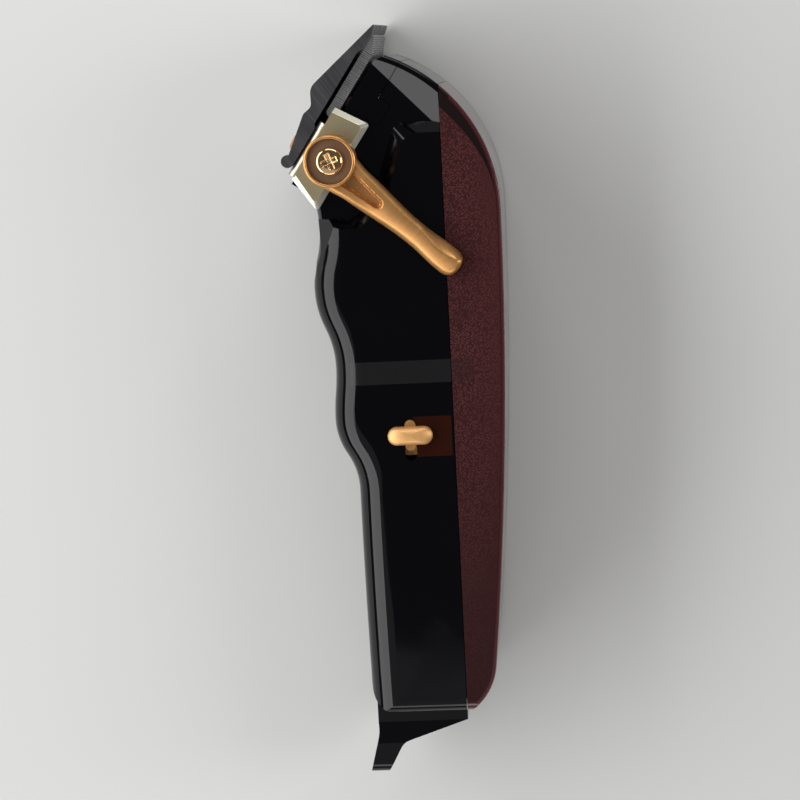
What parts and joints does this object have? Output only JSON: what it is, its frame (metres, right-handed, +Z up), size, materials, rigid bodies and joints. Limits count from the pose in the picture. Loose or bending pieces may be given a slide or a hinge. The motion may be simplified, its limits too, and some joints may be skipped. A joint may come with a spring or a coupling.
{
  "type": "hair clipper",
  "caption": "Cordless hair clipper with a toothed blade set, a side taper lever, a sliding power switch, a grained lid over a gloss casing and a rear hanging hook.",
  "frame": {"origin": "on the flat side away from the lever, straight below the switch, where the clipper lies on a table", "axes": "+Y along the body towards the blade, +X towards the lid, +Z up from the resting side to the lever side"},
  "size_m": [0.0455, 0.1615, 0.0505],
  "materials": {
    "gloss_black": "gloss moulded",
    "burgundy_grain": "leather-grained",
    "blade_steel": "ground",
    "bracket_chrome": "polished",
    "gold_plate": "satin plated",
    "washer_bronze": "dark",
    "zinc_steel": "zinc plated",
    "motor_steel": "drawn",
    "nylon": "moulded",
    "cell_wrap": "shrink wrap",
    "board_green": "lacquered",
    "socket_black": "moulded"
  },
  "bodies": {
    "casing": {"lower_casing": "gloss_black", "top_lid": "burgundy_grain", "nose_cap": "gloss_black", "rear_cap": "gloss_black", "charging_socket": "socket_black", "casing_screws": "zinc_steel", "nose_screws": "zinc_steel", "bracket_guide_pin": "zinc_steel", "tension_spring": "zinc_steel", "lever_post": "zinc_steel", "lever_washer": "washer_bronze", "lever_screw": "gold_plate", "battery": "cell_wrap", "circuit_board": "board_green", "board_screws": "zinc_steel", "switch_body": "socket_black", "motor": "motor_steel", "motor_plate": "motor_steel", "motor_screws": "zinc_steel", "yoke_rod": "zinc_steel"},
    "lever": {"taper_lever": "gold_plate"},
    "blade_carriage": {"bottom_blade": "blade_steel", "blade_bracket": "bracket_chrome", "blade_screws": "gold_plate"},
    "cutter": {"top_blade": "blade_steel", "drive_yoke": "nylon"},
    "rotor": {"motor_shaft": "zinc_steel", "eccentric": "nylon"},
    "switch": {"switch_slider": "gold_plate", "switch_thumb": "gold_plate"}
  },
  "joints": [
    {"name": "lever_turn", "type": "hinge", "parent": "casing", "child": "lever", "pos_m": [-0.01385, 0.0583, 0.0454], "axis": [0, 0, 1], "range_deg": [-40, 15]},
    {"name": "blade_taper", "type": "slide", "parent": "casing", "child": "blade_carriage", "axis": [0.5592, 0.829, 0], "range_m": [-0.00038, 0.00101]},
    {"name": "cutter_stroke", "type": "slide", "parent": "casing", "child": "cutter", "axis": [0, 0, 1], "range_m": [-0.0014, 0.0014]},
    {"name": "motor_spin", "type": "hinge", "parent": "casing", "child": "rotor", "pos_m": [-0.00035, 0.0503, 0.023], "axis": [0, 1, 0], "continuous": true},
    {"name": "switch_slide", "type": "slide", "parent": "casing", "child": "switch", "axis": [0, -1, 0], "range_m": [0, 0.002]}
  ],
  "couplings": [
    {"joint": "lever_turn", "follows": "blade_taper", "rad_per_m": -692.97}
  ]
}
